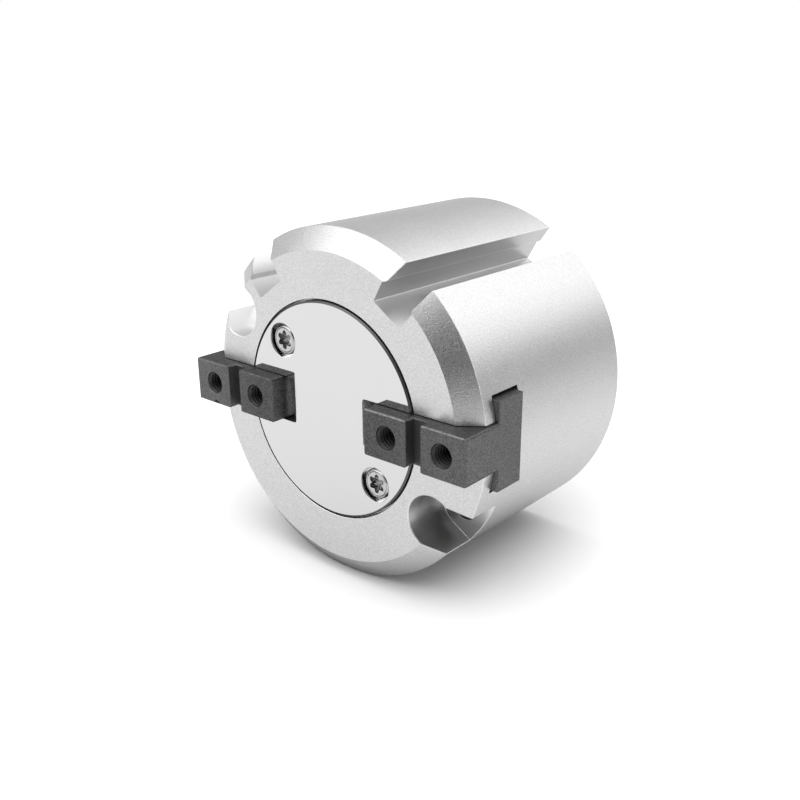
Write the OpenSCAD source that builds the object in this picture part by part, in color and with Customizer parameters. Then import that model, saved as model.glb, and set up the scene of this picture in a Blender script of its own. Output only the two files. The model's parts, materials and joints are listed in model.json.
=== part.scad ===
// Pneumatic two-finger parallel gripper with a round body, driven by a wedge cam.
// The tool axis lies along Y: the rear mounting face is at Y = 0 and the fingers face -Y.
// The fingers slide along X, and +Z is up.

/* [Body] */
// Diameter of the round body
body_d = 62; // [61:0.5:66]
// Thickness of the wall between the cylinder and the cam's pocket
wall_t = 5.4; // [5:0.1:8]
// Length of the front chamfer along the axis
chamfer_len = 2.8; // [1.5:0.1:3.5]
// Radial width of the front chamfer
chamfer_width = 3.7; // [2:0.1:4.2]

/* [Sensor grooves] */
// Angle from the top of the body to each sensor groove
groove_angle = 35; // [32:1:38]
// Depth of a sensor groove from the round surface
groove_depth = 7.8; // [6:0.1:8]
// Width of a sensor groove at the round surface
groove_mouth_w = 6.2; // [5:0.1:6.6]
// Width of a sensor groove where it is widest
groove_wide_w = 7.2; // [6.7:0.1:7.6]
// Depth of the straight mouth of a sensor groove
groove_mouth_depth = 3.5; // [2:0.1:5]
// Depth over which a sensor groove widens behind its mouth
groove_undercut = 0.5; // [0.3:0.1:1]
// Width of the flat floor of a sensor groove
groove_floor_w = 6.5; // [5:0.1:6.6]

/* [Mounting holes] */
// Diameter of the circle that the mounting holes lie on
bolt_circle_d = 52.6; // [52:0.1:53.5]
// Angle of the first through hole, from the finger line
bolt_angle = -32; // [-38:1:-28]
// Diameter of the through hole for the mounting bolt
bolt_hole_d = 5.5; // [5.2:0.1:5.8]
// Width of the open counterbore for the bolt head
bolt_notch_w = 9.5; // [9:0.1:10]
// Depth of the counterbore below the front face
bolt_notch_depth = 9.2; // [7:0.1:12]
// Nominal diameter of the tapped holes in the rear face
rear_thread_d = 5; // [4:0.5:6]
// Depth of the tapped holes in the rear face
rear_thread_depth = 10; // [8:0.5:14]
// Diameter of the locating pin hole in the rear face
pin_hole_d = 4; // [3:0.5:5]
// Depth of the locating pin hole
pin_hole_depth = 5; // [4:0.5:8]

/* [Air ports] */
// Nominal thread diameter of the air ports
port_d = 5; // [4:0.5:6]
// Depth of the port thread from the round surface
port_depth = 6; // [5:0.5:7]
// Diameter of the air hole from a port to the cylinder
port_air_d = 2; // [1.5:0.1:2.5]
// Angle of the port row, from the finger line
port_angle = 215; // [205:1:225]
// Width of the flat that each port opens on
port_flat_w = 9; // [8:0.5:10]

/* [Cover plate] */
// Diameter of the cover plate
plate_d = 37.9; // [37.5:0.1:38.3]
// Thickness of the cover plate
plate_t = 2.25; // [2.2:0.05:2.4]
// How far the cover plate stands proud of the front face
plate_proud = 0.25; // [0.1:0.05:0.4]
// Width of the chamfer around the cover plate
plate_chamfer = 0.3; // [0.1:0.05:0.4]
// Gap between the cover plate and its recess
plate_gap = 0.35; // [0.1:0.05:0.4]
// Distance from the axis to the inner end of a finger cut-out
cutout_inner_x = 8.05; // [7.5:0.05:8.1]
// Radius of the inner corners of a finger cut-out
cutout_corner_r = 0.4; // [0.3:0.1:0.8]
// Diameter of the circle that the cover screws lie on
screw_circle_d = 29.8; // [29:0.1:30.5]
// Angle of the first cover screw, from the finger line
screw_angle = -45; // [-50:1:-42]
// Nominal diameter of the cover screws
screw_d = 3; // [2.5:0.5:3]
// Diameter of a cover screw head
screw_head_d = 5.4; // [5:0.1:5.6]
// Height of a cover screw head
screw_head_h = 1.2; // [1:0.1:1.3]
// How far the cover screw heads lie below the face of the cover plate
screw_sink = 0.4; // [0.2:0.05:0.5]
// Diameter of the counterbore around a cover screw head
counterbore_d = 6.2; // [6:0.1:6.4]
// Length of a cover screw below its head
screw_len = 6; // [5:0.5:7]

/* [Fingers] */
// Width of the finger pads and of the neck behind them
finger_w = 8; // [7.6:0.1:8.2]
// How far the finger pads stand out of the front face
finger_proud = 3.1; // [2.5:0.1:4]
// How far the finger ends stand out of the round body
finger_overhang = 0.4; // [0:0.1:1]
// Distance from the axis to the inner end of the finger pads at rest
pad_inner_x = 10.8; // [10.7:0.1:11.2]
// Width of the cross groove between the two pads of a finger
key_groove_w = 2.9; // [2.7:0.1:3.5]
// Distance from the axis to the cross groove at rest
key_groove_x = 19.65; // [19:0.05:20]
// Height of the cross groove floor above the front face
key_groove_proud = 1; // [0.5:0.1:1.5]
// Nominal diameter of the finger threads
finger_thread_d = 4; // [3:0.5:4]
// Depth of the finger threads
finger_thread_depth = 9; // [6:0.5:10]
// Distance from a finger thread to the edge of the cross groove
thread_to_groove = 4.15; // [3.6:0.05:4.4]
// Diameter of the countersink at a finger thread
thread_mouth_d = 4.3; // [4.2:0.1:4.8]
// Width of the guide flange of a finger
flange_w = 15.2; // [14.6:0.1:15.4]
// Depth of the flange's front side below the front face
flange_depth = 5.3; // [5:0.1:5.6]
// Thickness of the guide flange
flange_t = 6.2; // [5.6:0.1:6.4]
// Inward travel of each finger from rest
travel_in = 2.5; // [1.5:0.1:2.5]
// Outward travel of each finger from rest
travel_out = 1.5; // [1:0.1:1.5]

/* [Wedge cam] */
// Angle between the wedge keys and the tool axis
cam_angle = 30; // [29.5:0.5:34]
// Height of the wedge block along the axis
cam_h = 5.3; // [4.5:0.1:5.4]
// Width of the wedge block
cam_w = 14; // [12:0.2:15]
// Distance from the axis to the wedge flank at mid height
cam_flank_x = 6; // [5.8:0.1:6.2]
// Width of the neck of a wedge key
key_neck_w = 4.8; // [4:0.1:5.2]
// Thickness of the neck of a wedge key
key_neck_t = 2; // [1.8:0.1:2.1]
// Width of the head of a wedge key
key_head_w = 8.4; // [7.6:0.1:9]
// Thickness of the head of a wedge key
key_head_t = 2; // [1.8:0.1:2.1]
// Diameter of the piston rod
rod_d = 10; // [9.5:0.1:10.4]
// Nominal diameter of the piston bolt
piston_bolt_d = 4; // [3.5:0.5:4]
// Length of the piston bolt's thread in the rod
piston_bolt_grip = 8; // [6:0.5:9]

/* [Cylinder] */
// Diameter of the cylinder bore
bore_d = 40; // [39.5:0.1:40.4]
// Diameter of the rear cap and of the pilot bore behind it
cap_d = 42; // [41.6:0.1:42.4]
// Depth of the pilot bore in the rear face
pilot_depth = 1.5; // [1.2:0.1:1.6]
// Thickness of the snap ring
ring_t = 1.75; // [1.5:0.05:1.8]
// Depth of the snap ring's groove beyond the cap's bore
ring_groove_depth = 1; // [0.8:0.05:1.1]
// Thickness of the rear cap
cap_t = 3.5; // [3.3:0.1:3.6]
// Thickness of the rubber bumpers
bumper_t = 1.2; // [1:0.1:1.3]
// How far a bumper stands out of its groove
bumper_proud = 0.5; // [0.3:0.1:0.6]

/* [Piston] */
// Thickness of the whole piston with its magnet holder
piston_t = 8; // [7.8:0.1:8.2]
// Thickness of the magnet holder's disc
holder_t = 1.5; // [1.2:0.1:1.7]
// Thickness of the magnet ring
magnet_t = 2.2; // [1.8:0.1:2.3]
// Radial width of the magnet ring
magnet_w = 3; // [2:0.1:4]
// Width of the piston seal
piston_seal_w = 1.9; // [1.6:0.1:2]
// Depth of the piston seal's groove
piston_seal_depth = 2.4; // [2:0.1:2.8]
// Width of the rod seal along the rod
rod_seal_w = 2; // [1.8:0.1:2.1]
// Radial depth of the rod seal
rod_seal_depth = 2.5; // [2:0.1:3]
// Wall of the rod bush
bush_wall = 1.2; // [1:0.1:1.5]

/* [Clearances] */
// Clearance on each side of the finger neck in its slot
neck_gap = 0.1; // [0.05:0.01:0.12]
// Clearance on each side of the finger flange in its slot
flange_side_gap = 0.6; // [0.3:0.05:0.6]
// Clearance in front of the finger flange
flange_front_gap = 0.06; // [0.03:0.01:0.1]
// Clearance behind the finger flange
flange_rear_gap = 0.5; // [0.2:0.05:0.5]
// Clearance between a wedge key and its slot in the finger
wedge_gap = 0.06; // [0.04:0.01:0.08]
// Radial running clearance of the rod
rod_gap = 0.03; // [0.02:0.01:0.06]
// Radial clearance of the piston in the bore
piston_gap = 0.15; // [0.1:0.01:0.2]
// Clearance left at the end of a stroke
end_gap = 0.15; // [0.1:0.01:0.15]
// Clearance of pieces that are screwed or pushed together
seat_gap = 0.02; // [0.01:0.01:0.04]

/* [Hidden] */
$fn = 96;
eps = 0.01;
reach = body_d;
// How far a cutting shape runs past the face that it cuts
cut = 1;

// Radii and distances from the axis
body_r = body_d / 2;
bore_r = bore_d / 2;
cap_r = cap_d / 2;
rod_r = rod_d / 2;
plate_r = plate_d / 2;
recess_r = plate_r + plate_gap;
bolt_r = bolt_circle_d / 2;
screw_r = screw_circle_d / 2;
piston_r = bore_r - piston_gap;

// Travel of the wedge cam for the fingers' travel
cam_in = travel_in / tan(cam_angle);
cam_out = travel_out / tan(cam_angle);

// Heights along the axis, measured forward from the rear face
ring_z = pilot_depth;
ring_groove_w = ring_t + 2 * seat_gap;
cap_z = ring_z + ring_groove_w;
chamber_z = cap_z + cap_t;
piston_z = chamber_z + bumper_proud + end_gap + cam_in;
chamber_end_z = piston_z + piston_t + cam_out + end_gap + bumper_proud;
// The body is as long as its layers need, rounded up to a tenth
cam_room = cam_in + cam_h + cam_out + 2 * end_gap;
plate_seat = plate_t - plate_proud;
body_len = ceil(10 * (chamber_end_z + wall_t + cam_room + plate_seat)) / 10;
recess_z = body_len - plate_seat;
plate_front_z = body_len + plate_proud;
slot_front_z = body_len - flange_depth + flange_front_gap;
flange_front_z = body_len - flange_depth;
flange_rear_z = flange_front_z - flange_t;
slot_rear_z = flange_rear_z - flange_rear_gap;
head_front_z = recess_z - end_gap;
cam_front_z = recess_z - end_gap - cam_out;
cam_rear_z = cam_front_z - cam_h;
cam_mid_z = cam_front_z - cam_h / 2;
cavity_z = cam_rear_z - cam_in - end_gap;
leg_rear_z = cavity_z + end_gap;
pad_front_z = body_len + finger_proud;
key_floor_z = body_len + key_groove_proud;

// Widths of the slots, and the finger's features from the axis at rest
neck_slot_w = finger_w + 2 * neck_gap;
flange_slot_w = flange_w + 2 * flange_side_gap;
finger_end_x = body_r + finger_overhang;
thread_in_x = key_groove_x - thread_to_groove;
thread_out_x = key_groove_x + key_groove_w + thread_to_groove;
key_reach = key_neck_t + key_head_t;
// Wall left outside the wedge key's slot, and how far the wedge head passes the pad's inner end
key_wall = 2.6;
head_past_pad = 0.4;
leg_end_x = flank_x(leg_rear_z) + key_reach + wedge_gap + key_wall;
leg_pocket_x = leg_end_x + travel_out + end_gap;
head_end_x = pad_inner_x + head_past_pad;
head_pocket_x = head_end_x + travel_out + 2 * flange_side_gap;
pocket_corner_r = 1;

// Seals and the piston's layers
bolt_head_gap = 0.3;
piston_body_z = piston_z + holder_t + magnet_t;
piston_seal_z = (piston_body_z + piston_z + piston_t - piston_seal_w) / 2;
seal_groove_extra = 0.1;
magnet_inset = 0.2;
magnet_hub_r = piston_r - magnet_w - magnet_inset;
gasket_d = 1;
gasket_r = piston_bolt_d / 2 + 2 * bolt_head_gap + gasket_d / 2;
cap_gasket_d = 1.5;
bush_len = 1.8;
bush_z = cavity_z - bush_len;
rod_seal_gap = 0.8;
rod_seal_z = bush_z - rod_seal_gap - rod_seal_w;
bumper_r = (rod_r + bore_r) / 2;
bumper_w = 3;
screw_hole_gap = 0.15;
bolt_head_d = 1.75 * piston_bolt_d;
bolt_head_h = 3.2;
washer_t = 0.6;
washer_z = piston_z + bolt_head_h + 2 * end_gap;
hex_socket = 0.75 * piston_bolt_d;

// Position of the wedge flank at height z with the cam at rest: wide at the rear
function flank_x(z) = cam_flank_x - (z - cam_mid_z) * tan(cam_angle);

// Outline of a slab that follows the wedge flank from x0 to x1 beyond it
function wedge_slab(x0, x1, z0, z1) = [
    [flank_x(z0) + x0, z0],
    [flank_x(z0) + x1, z0],
    [flank_x(z1) + x1, z1],
    [flank_x(z1) + x0, z1]
];

// Turns a piece drawn upright, with its axis along Z, so that its front faces -Y
module lay() {
    rotate([90, 0, 0]) children();
}

// Extrudes an outline in the X and axis plane to a width that is centred on the axis
module slab(width) {
    translate([0, width / 2, 0]) rotate([90, 0, 0]) linear_extrude(width) children();
}

// A block centred on the axis in X and across it
module centred_block(length, width, z0, z1) {
    translate([-length / 2, -width / 2, z0]) cube([length, width, z1 - z0]);
}

// A ring with a rectangular section
module ring(r_in, r_out, z0, z1) {
    rotate_extrude() polygon([[r_in, z0], [r_out, z0], [r_out, z1], [r_in, z1]]);
}

// A ring with a round section, for an O-ring
module o_ring(r_mid, section_d, z) {
    rotate_extrude() translate([r_mid, z]) circle(d = section_d, $fn = 32);
}

// Angles of pairs that lie opposite each other
function pair(angle) = [angle, angle + 180];

module body_blank() {
    rotate_extrude() polygon([
        [0, 0],
        [body_r, 0],
        [body_r, body_len - chamfer_len],
        [body_r - chamfer_width, body_len],
        [0, body_len]
    ]);
}

// Section of a sensor groove, with its mouth towards +X
module groove_section() {
    mouth_x = body_r - groove_mouth_depth;
    wide_x = mouth_x - groove_undercut;
    floor_x = body_r - groove_depth;
    polygon([
        [floor_x, -groove_floor_w / 2],
        [wide_x, -groove_wide_w / 2],
        [mouth_x, -groove_mouth_w / 2],
        [body_r + cut, -groove_mouth_w / 2],
        [body_r + cut, groove_mouth_w / 2],
        [mouth_x, groove_mouth_w / 2],
        [wide_x, groove_wide_w / 2],
        [floor_x, groove_floor_w / 2]
    ]);
}

module sensor_grooves() {
    for (side = [-1, 1]) {
        rotate(90 + side * groove_angle) translate([0, 0, -cut])
            linear_extrude(body_len + 2 * cut) groove_section();
    }
}

module mounting_holes() {
    for (angle = pair(bolt_angle)) rotate(angle) translate([bolt_r, 0, 0]) {
        translate([0, 0, -cut]) cylinder(d = bolt_hole_d, h = body_len);
        translate([0, 0, body_len - bolt_notch_depth]) {
            cylinder(d = bolt_notch_w, h = reach);
            translate([0, -bolt_notch_w / 2, 0]) cube([reach, bolt_notch_w, reach]);
        }
    }
    for (angle = pair(-bolt_angle)) rotate(angle) translate([bolt_r, 0, -eps])
        cylinder(d = rear_thread_d, h = rear_thread_depth + eps);
    rotate(-90) translate([bolt_r, 0, -eps]) cylinder(d = pin_hole_d, h = pin_hole_depth + eps);
}

// Heights of the two air holes, one at each end of the cylinder chamber
air_edge = port_air_d / 2 + end_gap;
air_heights = [chamber_z + air_edge, chamber_end_z - air_edge];
port_flat_x = sqrt(pow(body_r, 2) - pow(port_flat_w / 2, 2));

module air_ports() {
    rotate(port_angle) for (z = air_heights) translate([0, 0, z]) {
        translate([port_flat_x, 0, 0]) rotate([0, 90, 0]) cylinder(d = port_flat_w, h = reach);
        translate([port_flat_x - port_depth, 0, 0]) rotate([0, 90, 0])
            cylinder(d = port_d, h = reach);
        translate([bore_r - cut, 0, 0]) rotate([0, 90, 0]) cylinder(d = port_air_d, h = reach);
    }
}

// Pocket with rounded corners, cut from height z0 to height z1
module pocket(length, width, z0, z1) {
    x = length / 2 - pocket_corner_r;
    y = width / 2 - pocket_corner_r;
    centred_block(length - 2 * pocket_corner_r, width, z0, z1);
    centred_block(length, width - 2 * pocket_corner_r, z0, z1);
    for (i = [-1, 1], j = [-1, 1]) translate([i * x, j * y, z0])
        cylinder(r = pocket_corner_r, h = z1 - z0);
}

module finger_slots() {
    centred_block(2 * reach, neck_slot_w, slot_front_z - eps, body_len + cut);
    centred_block(2 * reach, flange_slot_w, slot_rear_z, slot_front_z);
    pocket(2 * leg_pocket_x, flange_slot_w, cavity_z, slot_rear_z + eps);
    pocket(2 * head_pocket_x, flange_slot_w, slot_rear_z, recess_z + eps);
}

module cylinder_bores() {
    translate([0, 0, -cut]) cylinder(r = cap_r + seat_gap, h = chamber_z + cut);
    ring(cap_r - cut, cap_r + ring_groove_depth, ring_z, cap_z);
    translate([0, 0, chamber_z - eps]) cylinder(r = bore_r, h = chamber_end_z - chamber_z + eps);
    translate([0, 0, chamber_end_z - cut]) cylinder(r = rod_r + 2 * rod_gap, h = body_len);
    translate([0, 0, rod_seal_z - seal_groove_extra])
        cylinder(r = rod_r + rod_seal_depth, h = rod_seal_w + 2 * seal_groove_extra);
    translate([0, 0, bush_z])
        cylinder(r = rod_r + rod_gap + bush_wall + seat_gap, h = bush_len + cut);
    bumper_groove(chamber_end_z - cut, chamber_end_z + bumper_t - bumper_proud);
}

module cover_recess() {
    translate([0, 0, recess_z]) cylinder(r = recess_r, h = reach);
    for (angle = pair(screw_angle)) rotate(angle) translate([screw_r, 0, recess_z])
        translate([0, 0, -screw_len]) cylinder(d = screw_d + 2 * seat_gap, h = screw_len + cut);
}

module body() {
    color("silver") lay() difference() {
        body_blank();
        sensor_grooves();
        mounting_holes();
        air_ports();
        finger_slots();
        cylinder_bores();
        cover_recess();
    }
}

// Outline of the cover's cut-out for the right finger, with rounded inner corners
module plate_cutout() {
    side_y = neck_slot_w / 2 - cutout_corner_r;
    translate([cutout_inner_x + cutout_corner_r, -neck_slot_w / 2]) square([reach, neck_slot_w]);
    translate([cutout_inner_x, -side_y]) square([reach, 2 * side_y]);
    for (y = [-side_y, side_y]) translate([cutout_inner_x + cutout_corner_r, y])
        circle(r = cutout_corner_r, $fn = 48);
}

module end_plate() {
    color("gainsboro") lay() difference() {
        rotate_extrude() polygon([
            [0, recess_z],
            [plate_r, recess_z],
            [plate_r, plate_front_z - plate_chamfer],
            [plate_r - plate_chamfer, plate_front_z],
            [0, plate_front_z]
        ]);
        for (turn = [0, 180]) rotate(turn) translate([0, 0, recess_z - cut])
            linear_extrude(plate_t + 2 * cut) plate_cutout();
        for (angle = pair(screw_angle)) rotate(angle) translate([screw_r, 0, 0]) {
            translate([0, 0, recess_z - cut])
                cylinder(d = screw_d + 2 * screw_hole_gap, h = plate_t + 2 * cut);
            translate([0, 0, plate_front_z - screw_sink - screw_head_h])
                cylinder(d = counterbore_d, h = plate_t);
        }
    }
}

// A cone of 90 degrees whose wide end lies at height z
module countersink(d_wide, d_narrow, z) {
    depth = (d_wide - d_narrow) / 2;
    translate([0, 0, z - depth]) cylinder(d1 = d_narrow, d2 = d_wide + 2 * eps, h = depth + eps);
}

// Six-lobe recess, as a star of three bars with round ends
module six_lobe(width, depth, z) {
    lobe_d = width * 0.24;
    for (angle = [0, 60, 120]) rotate(angle) translate([0, 0, z - depth]) {
        for (side = [-1, 1]) translate([side * (width - lobe_d) / 2, 0, 0])
            cylinder(d = lobe_d, h = depth + cut);
        translate([-(width - lobe_d) / 2, -lobe_d / 2, 0])
            cube([width - lobe_d, lobe_d, depth + cut]);
    }
    translate([0, 0, z - depth]) cylinder(d = width - 1.6 * lobe_d, h = depth + cut);
}

module end_plate_screws() {
    head_z = plate_front_z - screw_sink;
    seat_z = head_z - screw_head_h;
    color("lightgray") lay() for (angle = pair(screw_angle)) {
        rotate(angle) translate([screw_r, 0, 0]) difference() {
            union() {
                translate([0, 0, seat_z]) cylinder(d = screw_head_d, h = screw_head_h);
                translate([0, 0, recess_z - screw_len + end_gap])
                    cylinder(d = screw_d, h = seat_z - recess_z + screw_len);
            }
            six_lobe(screw_head_d / 2, screw_head_h, head_z);
        }
    }
}

// The wedge key's slot through the inner end of a finger
module key_slot() {
    low_z = leg_rear_z - cut;
    high_z = head_front_z + cut;
    gap = wedge_gap / cos(cam_angle);
    slab(key_neck_w + 2 * wedge_gap)
        polygon(wedge_slab(-cut, key_neck_t + gap, low_z, high_z));
    slab(key_head_w + 2 * wedge_gap)
        polygon(wedge_slab(key_neck_t - gap, key_reach + gap, low_z, high_z));
}

// Side view of the wide part of a finger: its wedge head, leg and guide flange
module finger_side() {
    flank_gap = wedge_gap / cos(cam_angle);
    polygon([
        [flank_x(leg_rear_z) + flank_gap, leg_rear_z],
        [leg_end_x, leg_rear_z],
        [leg_end_x, flange_rear_z],
        [finger_end_x, flange_rear_z],
        [finger_end_x, flange_front_z],
        [head_end_x, flange_front_z],
        [head_end_x, head_front_z],
        [flank_x(head_front_z) + flank_gap, head_front_z]
    ]);
}

module finger() {
    pad_len = finger_end_x - pad_inner_x;
    difference() {
        union() {
            slab(flange_w) finger_side();
            translate([pad_inner_x, -finger_w / 2, flange_rear_z])
                cube([pad_len, finger_w, pad_front_z - flange_rear_z]);
        }
        key_slot();
        translate([key_groove_x, -finger_w, key_floor_z])
            cube([key_groove_w, 2 * finger_w, finger_proud]);
        for (x = [thread_in_x, thread_out_x]) translate([x, 0, 0]) {
            translate([0, 0, pad_front_z - finger_thread_depth])
                cylinder(d = finger_thread_d, h = finger_thread_depth + cut);
            countersink(thread_mouth_d, finger_thread_d, pad_front_z);
        }
    }
}

module right_finger() {
    color("dimgray") lay() finger();
}

module left_finger() {
    color("dimgray") lay() rotate(180) finger();
}

module wedge_cam() {
    grip_z = piston_z + piston_t;
    color("slategray") lay() difference() {
        union() {
            for (turn = [0, 180]) rotate(turn) {
                slab(cam_w) polygon([
                    [-eps, cam_rear_z],
                    [flank_x(cam_rear_z), cam_rear_z],
                    [flank_x(cam_front_z), cam_front_z],
                    [-eps, cam_front_z]
                ]);
                slab(key_neck_w)
                    polygon(wedge_slab(-cut, key_reach, cam_rear_z, cam_front_z));
                slab(key_head_w)
                    polygon(wedge_slab(key_neck_t, key_reach, cam_rear_z, cam_front_z));
            }
            translate([0, 0, grip_z]) cylinder(r = rod_r, h = cam_mid_z - grip_z);
        }
        translate([0, 0, grip_z - cut])
            cylinder(d = piston_bolt_d + 2 * seat_gap, h = piston_bolt_grip + cut + end_gap);
    }
}

module piston() {
    color("lightsteelblue") lay() difference() {
        union() {
            translate([0, 0, piston_body_z])
                cylinder(r = piston_r, h = piston_z + piston_t - piston_body_z);
            translate([0, 0, piston_z + holder_t])
                cylinder(r = magnet_hub_r, h = magnet_t + cut);
        }
        translate([0, 0, piston_z - cut])
            cylinder(r = piston_bolt_d / 2 + screw_hole_gap, h = piston_t + 2 * cut);
        translate([0, 0, piston_z - cut])
            cylinder(r = bolt_head_d / 2 + bolt_head_gap, h = washer_z + washer_t - piston_z + cut);
        ring(
            piston_r - piston_seal_depth, piston_r + cut,
            piston_seal_z - seal_groove_extra, piston_seal_z + piston_seal_w + seal_groove_extra
        );
        ring(
            gasket_r - gasket_d / 2 - seat_gap, gasket_r + gasket_d / 2 + seat_gap,
            piston_z + piston_t - gasket_d, piston_z + piston_t + cut
        );
    }
}

module magnet_holder() {
    color("lightsteelblue") lay()
        ring(bolt_head_d / 2 + bolt_head_gap, piston_r, piston_z, piston_z + holder_t);
}

module magnet_ring() {
    z = piston_z + holder_t;
    color("black") lay()
        ring(magnet_hub_r + seat_gap, magnet_hub_r + magnet_w, z, z + magnet_t);
}

module piston_seal() {
    color("darkslategray") lay() ring(
        piston_r - piston_seal_depth, bore_r - seat_gap,
        piston_seal_z, piston_seal_z + piston_seal_w
    );
}

module piston_gasket() {
    color("darkslategray") lay()
        o_ring(gasket_r, gasket_d, piston_z + piston_t - gasket_d / 2);
}

module piston_bolt() {
    head_z = washer_z - bolt_head_h;
    tip_z = piston_z + piston_t + piston_bolt_grip;
    color("gray") lay() difference() {
        union() {
            translate([0, 0, head_z]) cylinder(d = bolt_head_d, h = bolt_head_h);
            translate([0, 0, washer_z - eps]) cylinder(d = piston_bolt_d, h = tip_z - washer_z);
        }
        translate([0, 0, head_z - cut])
            cylinder(d = hex_socket / cos(30), h = bolt_head_h / 2 + cut, $fn = 6);
    }
}

module bolt_washer() {
    color("gray") lay()
        ring(piston_bolt_d / 2 + screw_hole_gap, bolt_head_d / 2, washer_z, washer_z + washer_t);
}

module rod_seal() {
    color("darkslategray") lay() ring(
        rod_r + rod_gap, rod_r + rod_seal_depth - seat_gap,
        rod_seal_z, rod_seal_z + rod_seal_w
    );
}

module rod_bush() {
    color("goldenrod") lay()
        ring(rod_r + rod_gap, rod_r + rod_gap + bush_wall, bush_z, bush_z + bush_len);
}

module bumper(z) {
    ring(bumper_r - bumper_w / 2, bumper_r + bumper_w / 2, z, z + bumper_t);
}

// Groove that holds a bumper, cut from height z0 to height z1
module bumper_groove(z0, z1) {
    half_w = bumper_w / 2 + seat_gap;
    ring(bumper_r - half_w, bumper_r + half_w, z0, z1);
}

module front_bumper() {
    color("saddlebrown") lay() bumper(chamber_end_z - bumper_proud);
}

module rear_bumper() {
    color("saddlebrown") lay() bumper(chamber_z + bumper_proud - bumper_t);
}

module rear_cap() {
    groove_z = cap_z + cap_t / 2;
    color("silver") lay() difference() {
        translate([0, 0, cap_z]) cylinder(r = cap_r, h = cap_t);
        ring(
            cap_r - cap_gasket_d, cap_r + cut,
            groove_z - cap_gasket_d / 2 - seal_groove_extra,
            groove_z + cap_gasket_d / 2 + seal_groove_extra
        );
        bumper_groove(chamber_z + bumper_proud - bumper_t, chamber_z + cut);
    }
}

module cap_gasket() {
    color("darkslategray") lay()
        o_ring(cap_r - cap_gasket_d / 2, cap_gasket_d - 2 * seat_gap, cap_z + cap_t / 2);
}

// Internal snap ring: open at the bottom, with a lug and a pliers hole at each end
module snap_ring() {
    ring_w = 2.6;
    lug_d = 3.2;
    lug_x = cap_r - lug_d;
    lug_angle = asin((ring_w / 2 + lug_d / 2) / lug_x);
    z = ring_z + seat_gap;
    color("dimgray") lay() rotate(-90) difference() {
        union() {
            difference() {
                ring(cap_r - ring_w, cap_r + ring_groove_depth - seat_gap, z, z + ring_t);
                translate([0, -lug_d, z - cut]) cube([reach, 2 * lug_d, ring_t + 2 * cut]);
            }
            for (side = [-1, 1]) rotate(side * lug_angle) translate([lug_x, 0, z])
                cylinder(d = lug_d, h = ring_t);
        }
        for (side = [-1, 1]) rotate(side * lug_angle) translate([lug_x, 0, z - cut])
            cylinder(d = lug_d / 2, h = ring_t + 2 * cut);
    }
}

body();
end_plate();
end_plate_screws();
right_finger();
left_finger();
wedge_cam();
piston();
magnet_holder();
magnet_ring();
piston_seal();
piston_gasket();
piston_bolt();
bolt_washer();
rod_seal();
rod_bush();
front_bumper();
rear_bumper();
rear_cap();
cap_gasket();
snap_ring();
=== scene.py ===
import json
import math

import bmesh
import bpy
from mathutils import Matrix, Vector


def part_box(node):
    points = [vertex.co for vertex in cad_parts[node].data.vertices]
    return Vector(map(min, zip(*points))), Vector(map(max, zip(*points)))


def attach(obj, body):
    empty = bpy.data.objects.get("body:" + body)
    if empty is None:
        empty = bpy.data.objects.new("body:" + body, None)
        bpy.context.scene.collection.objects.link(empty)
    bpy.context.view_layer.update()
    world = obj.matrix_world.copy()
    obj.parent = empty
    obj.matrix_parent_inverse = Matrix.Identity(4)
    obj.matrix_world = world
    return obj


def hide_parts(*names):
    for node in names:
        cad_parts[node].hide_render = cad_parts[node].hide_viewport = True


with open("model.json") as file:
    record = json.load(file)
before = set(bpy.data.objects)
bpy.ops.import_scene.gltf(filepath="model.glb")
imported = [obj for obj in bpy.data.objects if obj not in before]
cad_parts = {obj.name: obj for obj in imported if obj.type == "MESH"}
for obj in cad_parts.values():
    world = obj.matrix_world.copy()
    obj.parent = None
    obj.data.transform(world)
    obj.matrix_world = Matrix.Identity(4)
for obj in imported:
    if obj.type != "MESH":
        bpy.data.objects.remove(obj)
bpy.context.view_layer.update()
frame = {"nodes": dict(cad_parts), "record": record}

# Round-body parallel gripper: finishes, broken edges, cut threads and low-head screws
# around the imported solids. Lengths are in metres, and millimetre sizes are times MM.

MM = 0.001
NODES = frame["nodes"]
MOUNTS = {mount["name"]: mount for mount in frame["record"]["mounts"]}

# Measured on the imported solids.
BODY_LOW, BODY_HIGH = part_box("body")
BODY_R = BODY_HIGH[0]
FACE_Y = BODY_LOW[1]
PAD_FRONT_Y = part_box("right_finger")[0][1]
SCREW_FACE_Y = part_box("end_plate_screws")[0][1]
COVER_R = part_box("end_plate")[1][0]


# ---------------------------------------------------------------- shader maths


class Value:
    """A socket that takes part in arithmetic. Every operator adds one Math node."""

    def __init__(self, graph, socket):
        self.graph = graph
        self.socket = socket

    def __add__(self, other):
        return self.graph.math("ADD", self, other)

    def __sub__(self, other):
        return self.graph.math("SUBTRACT", self, other)

    def __rsub__(self, other):
        return self.graph.math("SUBTRACT", other, self)

    def __mul__(self, other):
        return self.graph.math("MULTIPLY", self, other)

    def __truediv__(self, other):
        return self.graph.math("DIVIDE", self, other)

    def __pow__(self, other):
        return self.graph.math("POWER", self, other)

    def __neg__(self):
        return self.graph.math("MULTIPLY", self, -1.0)

    def __abs__(self):
        return self.graph.math("ABSOLUTE", self)

    __radd__ = __add__


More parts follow.
